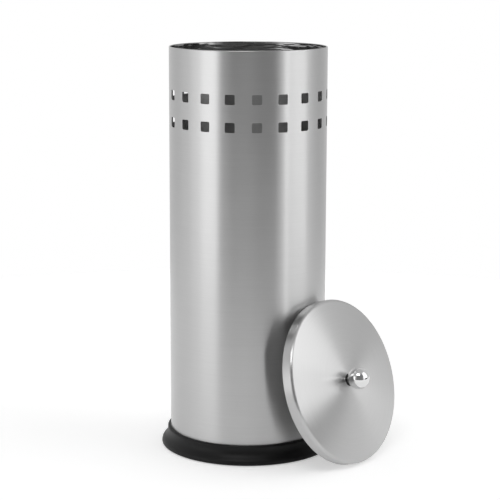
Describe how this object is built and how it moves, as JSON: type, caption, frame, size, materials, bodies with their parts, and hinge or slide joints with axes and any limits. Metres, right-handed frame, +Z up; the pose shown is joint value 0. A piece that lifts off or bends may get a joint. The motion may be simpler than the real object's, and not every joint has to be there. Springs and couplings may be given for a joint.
{
  "type": "lidded storage canister",
  "caption": "Tall round steel canister with square vents below its mouth, a flared black foot and a loose domed lid with a ball knob; stores spare rolls or short folding umbrellas.",
  "frame": {"origin": "on the tube's axis, in the plane that the grip ring stands on", "axes": "+Z up along the tube, -Y towards the front, +X towards the side where the lid leans"},
  "size_m": [0.2121, 0.1917, 0.361],
  "materials": {
    "brushed_tube": "brushed round the tube",
    "brushed_lid": "spun brushing in rings",
    "pan_steel": "plain mill finish",
    "foot_plastic": "black with a soft sheen",
    "grip_rubber": "matt black",
    "fastener_steel": "bright zinc plate",
    "knob_chrome": "polished"
  },
  "bodies": {
    "canister": {"body_tube": "brushed_tube", "floor_pan": "pan_steel", "foot_ring": "foot_plastic", "grip_ring": "grip_rubber", "foot_screws": "fastener_steel", "foot_nuts": "fastener_steel"},
    "lid": {"lid_shell": "brushed_lid", "lid_knob": "knob_chrome", "knob_gasket": "grip_rubber", "knob_washer": "fastener_steel", "knob_screw": "fastener_steel"}
  },
  "joints": [
    {"name": "lid_lift", "type": "slide", "parent": "canister", "child": "lid", "axis": [0, 0, 1], "range_m": [0, 0.4]}
  ]
}
